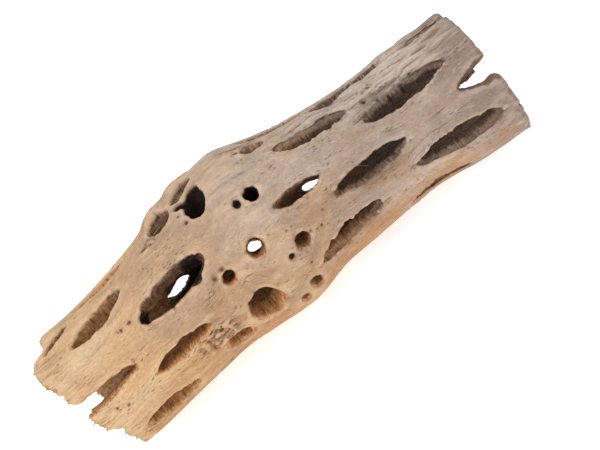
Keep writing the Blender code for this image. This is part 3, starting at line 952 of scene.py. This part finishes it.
def weatheredWood(fibres):
    made, tree, shader = newMaterial("weatheredWood")

    def field(name, output="Fac"):
        return addNode(tree, "ShaderNodeAttribute", attribute_name=name).outputs[output]

    def ramp(value, *span):
        return remap(tree, value, *span)

    def joined(kind, first, second=0.0):
        return sums(tree, kind, first, second)

    # a noise less its middle value, times a size
    def swing(value, middle, size):
        return joined("MULTIPLY", joined("SUBTRACT", value, middle), size)

    def coated(colour, kind):
        for what, start, full, share, over, *limits in coats[kind]:
            amount = ramp(shows[what], start, full, 0.0, share)
            for by, *span in limits:
                amount = joined("MULTIPLY", amount, ramp(shows[by], *span))
            colour = mixColour(tree, amount, colour, colours[over])
        return colour

    grain, wall = field("grain", "Vector"), field("wall", "Vector")
    place = addNode(tree, "ShaderNodeTexCoord").outputs["Object"]
    apart = addNode(tree, "ShaderNodeSeparateXYZ", {0: place}).outputs
    fine = addNode(tree, "ShaderNodeGroup", {}, node_tree=fibres)
    tree.links.new(grain, fine.inputs["Grain"])
    shows = {name: fine.outputs[name] for name in ("Fibres", "Streaks", "Bands")}
    shows.update({name: field(name) for name in ("depth", "edge", "tone", "dirt")})
    for name, vector in (("blotches", place), ("smudges", place), ("rays", wall), ("grit", wall)):
        shows[name] = noiseAt(tree, vector, name)
    drift = swing(noiseAt(tree, place, "clouds"), 0.5, wood["drift"])
    shows["x"] = apart["X"]
    shows["along"] = joined("ADD", apart["X"], drift)
    shows["high"] = joined("ADD", apart["Z"], joined("MULTIPLY", drift, wood["driftUp"]))
    shows["offLine"] = joined("ABSOLUTE", joined("SUBTRACT", noiseAt(tree, grain, "netLines"), 0.5))
    patchy = joined("ADD", shows["blotches"], shows["rays"])
    shows["wet"] = joined("ADD", field("stain"), swing(patchy, 1.0, wood["stainRag"]))

    colours = dict(wood)
    byEnd = ramp(shows["along"], *wood["palePlainFrom"])
    colours["pale"] = mixColour(tree, byEnd, wood["pale"], wood["palePlain"])
    # grey along the stem, and high up a painted shade
    greyed = joined("MAXIMUM", ramp(shows["along"], *wood["greyAlong"]),
                    ramp(shows["high"], *wood["greyShadeHigh"]))
    for name in ("wall", "deep", "gap", "strand"):
        colours[name] = mixColour(tree, greyed, wood[name + "Warm"], wood[name + "Grey"])

    skin = coated(wood["warm"], "skin")
    weave = ramp(noiseAt(tree, grain, "weave"), *wood["weaveSpan"])
    skin = coated(mixColour(tree, 1.0, skin, weave, "MULTIPLY"), "wearHighlightAndCreaseShade")
    marked = joined("MAXIMUM", fine.outputs["Pores"], fine.outputs["Checks"])
    skin = mixColour(tree, joined("MULTIPLY", marked, marks["share"]), skin, wood["groove"])

    frayed = joined("ADD", shows["depth"], swing(shows["rays"], 0.5, wood["rimRag"]))
    reach = ramp(field("slope"), 0.0, 1.0, *wood["rimEnds"])
    colour = mixColour(tree, ramp(frayed, wood["rimStart"], reach), skin, coated(colours["wall"], "walls"))
    broken = joined("MULTIPLY", field("broken"), wood["endShare"])
    colour = mixColour(tree, broken, colour, coated(wood["tornFace"], "ends"))
    tree.links.new(coated(colour, "dirt"), shader.inputs["Base Color"])
    tree.links.new(ramp(shows["Bands"], *wood["roughnessSpan"]), shader.inputs["Roughness"])
    shader.inputs["Specular IOR Level"].default_value = wood["specular"]

    wallHeight = joined("MULTIPLY", joined("ADD", shows["rays"], shows["grit"]),
                        ramp(shows["depth"], *wood["bumpDepth"]))
    skinBump = addNode(tree, "ShaderNodeBump", {"Height": fine.outputs["Height"], "Strength": 1.0,
                                                "Distance": wood["bumpFibres"]}).outputs[0]
    bump = addNode(tree, "ShaderNodeBump", {"Height": wallHeight, "Strength": 1.0,
                                            "Distance": wood["bumpWalls"], "Normal": skinBump}).outputs[0]
    tree.links.new(bump, shader.inputs["Normal"])
    return made


fibres = fibreGroup()
chollaStem.data.materials.clear()
chollaStem.data.materials.append(weatheredWood(fibres))
print("wood painted")

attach(chollaStem, "root")
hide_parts("cholla_stem")

# Loose fibres and splinters, drawn as thin tapering strands
strands = {
    "seed": 23,
    "sides": 4,
    "rings": 7,
    "tip": 0.15,
    "splinters": 260,
    "splinterLength": (0.0012, 0.0048),
    "splinterThickness": (0.00016, 0.0005),
    "rootThin": 0.5,
    "swelling": 3,
    # where splinters grow: how far the face turns to the end, how near the break, how deep
    "facing": -0.5,
    "byTheBreak": 0.006,
    "notDeeper": 0.01,
    # how far they splay, and the share of their length that is in the wood
    "splay": 0.22,
    "rooted": 0.25,
    # fibres that lie: spread over the width, shares of the length, bend and waver in degrees, lift in
    # thicknesses, shares of the thickness
    "bedSpread": 0.6,
    "bedLengths": (0.5, 1.2),
    "bedBend": 2.5,
    "bedWaver": 0.15,
    "bedLift": 0.2,
    "bedThickness": (0.6, 1.3),
    "greying": (-0.09, 0.05),
    "mottled": (0.35, 0.6, 0.55, 1.0),
    # place, turn, half length, half width, how many, length and thickness of the fibres that lie on the skin
    "beds": (
        (-0.114, -25, 0.01, 0.015, 26, 0.01, 0.00024), (-0.11, 28, 0.008, 0.007, 14, 0.01, 0.00024),
        (-0.048, 38.5, 0.011, 0.005, 40, 0.006, 0.00026),
        (-0.0465, -53.5, 0.008, 0.0028, 26, 0.0055, 0.00028),
        (0.06, 20.5, 0.017, 0.0022, 26, 0.008, 0.00022),
        (0.066, -36, 0.015, 0.0028, 22, 0.006, 0.00022),
    ),
    # loose hairs: (place, turn, depth) of three points each passes, and its thickness
    "hairs": (
        ((0.0478, 2.5, 0.001), (0.0515, 7.0, 0.0034), (0.0545, 12.0, 0.004), 0.00024),
        ((0.119, 8.0, 0.001), (0.1225, 5.5, 0.0024), (0.1262, 3.5, 0.002), 0.00022),
        ((-0.045, -54.0, 0.0004), (-0.042, -57.5, 0.0006), (-0.037, -56.0, 0.001), 0.0003),
    ),
}


# bends one blank along its path, thinning to both of its ends
def addStrand(bm, blank, path, thickness, rootThin=strands["rootThin"]):
    heading = (path[-1] - path[0]).normalized()
    wide = heading.orthogonal().normalized()
    high = heading.cross(wide)
    for vert in addBlank(bm, blank):
        ring = round(vert.co.z)
        t = ring / (strands["rings"] - 1)
        body = min(1.0, rootThin + strands["swelling"] * t) * (1 - (1 - strands["tip"]) * t**2)
        vert.co = path[ring] + (wide * vert.co.x + high * vert.co.y) * thickness / 2 * body


def looseFibres(piece):
    draw = random.Random(strands["seed"])
    bm = bmesh.new()
    blank = ringedBlank("strandBlank", strands["sides"], strands["rings"])
    steps = [ring / (strands["rings"] - 1) for ring in range(strands["rings"])]
    nearest = BVHTree.FromObject(piece, bpy.context.evaluated_depsgraph_get()).find_nearest
    points, normals = read(piece.data, "co"), read(piece.data, "vector")
    places = stemPlaces(points)
    left = places["x"] - tornReaches(places["turn"])
    outer = (left < strands["byTheBreak"]) & (places["depth"] < strands["notDeeper"])
    broken = np.flatnonzero((normals[:, 0] < strands["facing"]) & outer)
    for index in draw.sample(list(broken), strands["splinters"]):
        start = Vector(points[index])
        drift = Vector((0.0, draw.gauss(0, strands["splay"]), draw.gauss(0, strands["splay"])))
        length = min(draw.uniform(*strands["splinterLength"]), start.x - cadBox[0][0])
        path = [start + (Vector((-1, 0, 0)) + drift * t) * (length * (t - strands["rooted"])) for t in steps]
        addStrand(bm, blank, path, draw.uniform(*strands["splinterThickness"]), rootThin=1.0)
    for atX, atTurn, reach, half, many, length, thickness in strands["beds"]:
        for _ in range(many):
            x = atX + reach * draw.uniform(-1, 1)
            turn = atTurn + math.degrees(half * draw.gauss(0, strands["bedSpread"]) / station(x, 1))
            run = length * draw.uniform(*strands["bedLengths"])
            bend = draw.gauss(0, strands["bedBend"])
            path = []
            for t in steps:
                waver = draw.gauss(0, strands["bedWaver"])
                ideal = restMatrix @ skinPoint(x + run * (t - 0.5), turn + bend * (t - 0.5) + waver)
                found, normal, _, _ = nearest(ideal)
                path.append(found + normal * thickness * strands["bedLift"])
            if max((path[i + 1] - path[i]).length for i in range(len(path) - 1)) < run / 2:
                addStrand(bm, blank, path, thickness * draw.uniform(*strands["bedThickness"]))
    for *stops, thickness in strands["hairs"]:
        a, b, c = [skinPoint(x, turn) - across(turn) * depth for x, turn, depth in stops]
        path = [restMatrix @ ((1 - t) ** 2 * a + 2 * t * (1 - t) * b + t * t * c) for t in steps]
        addStrand(bm, blank, path, thickness)
    bpy.data.meshes.remove(blank)
    return newObject("looseFibres", bm)


def fibreWood():
    made, tree, shader = newMaterial("looseFibreWood")
    place = addNode(tree, "ShaderNodeTexCoord").outputs["Object"]
    apart = addNode(tree, "ShaderNodeSeparateXYZ", {0: place}).outputs
    greyed = remap(tree, apart["X"], *strands["greying"])
    mottled = remap(tree, noiseAt(tree, place, "mottling"), *strands["mottled"])
    colour = mixColour(tree, greyed, wood["warm"], wood["grey"])
    tree.links.new(mixColour(tree, mottled, wood["brown"], colour), shader.inputs["Base Color"])
    shader.inputs["Roughness"].default_value = wood["roughness"]
    shader.inputs["Specular IOR Level"].default_value = wood["specular"]
    return made


splinters = looseFibres(chollaStem)
splinters.data.materials.append(fibreWood())
splinters.data.shade_smooth()
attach(splinters, "root")
print("loose fibres laid", len(splinters.data.polygons))

# The studio: a pale floor, a soft sky of white and one wide lamp
studio = {
    "floorSize": 6.0,
    "floorColour": (0.92, 0.92, 0.92, 1.0),
    "floorRoughness": 0.9,
    "floorGlow": 0.74,
    "sky": 0.74,
    "lampPlace": (-0.5, -0.45, 1.6),
    "lampSize": 0.9,
    "lampPower": 18.5,
}


def floor():
    bm = bmesh.new()
    bmesh.ops.create_grid(bm, x_segments=1, y_segments=1, size=studio["floorSize"] / 2)
    made = newObject("floor", bm)
    paper, _, shader = newMaterial("palePaper")
    shader.inputs["Base Color"].default_value = studio["floorColour"]
    shader.inputs["Roughness"].default_value = studio["floorRoughness"]
    shader.inputs["Emission Color"].default_value = studio["floorColour"]
    shader.inputs["Emission Strength"].default_value = studio["floorGlow"]
    made.data.materials.append(paper)


def light():
    world = bpy.data.worlds.new("whiteSky")
    world.use_nodes = True
    world.node_tree.nodes["Background"].inputs["Color"].default_value = (1.0, 1.0, 1.0, 1.0)
    world.node_tree.nodes["Background"].inputs["Strength"].default_value = studio["sky"]
    bpy.context.scene.world = world
    lamp = bpy.data.lights.new("wideLamp", "AREA")
    lamp.size = studio["lampSize"]
    lamp.energy = studio["lampPower"]
    made = bpy.data.objects.new("wideLamp", lamp)
    made.location = studio["lampPlace"]
    made.rotation_euler = (-made.location).to_track_quat("-Z", "Y").to_euler()
    bpy.context.scene.collection.objects.link(made)
    bpy.context.scene.view_settings.view_transform = "Standard"


# The camera looks square at the shown side, with the stem slanting up to the right in the picture
view = {"distance": 0.75, "lens": 93.9, "sensor": 36.0, "slant": 38.8,
        "lookAlong": 0.012, "lookOver": 0.0015}


def camera():
    shot = bpy.data.cameras.new("camera")
    shot.lens = view["lens"]
    shot.sensor_width = view["sensor"]
    made = bpy.data.objects.new("camera", shot)
    slant = math.radians(view["slant"])
    along, up, back = Vector((1.0, 0.0, 0.0)), across(-90.0), across(0.0)
    target = along * view["lookAlong"] + across(90.0) * view["lookOver"]
    turned = Matrix((
        along * math.cos(slant) - up * math.sin(slant),
        along * math.sin(slant) + up * math.cos(slant),
        back,
    )).transposed().to_4x4()
    made.matrix_world = restMatrix @ Matrix.Translation(target + back * view["distance"]) @ turned
    bpy.context.scene.collection.objects.link(made)
    bpy.context.scene.camera = made


floor()
light()
camera()
print("studio set")
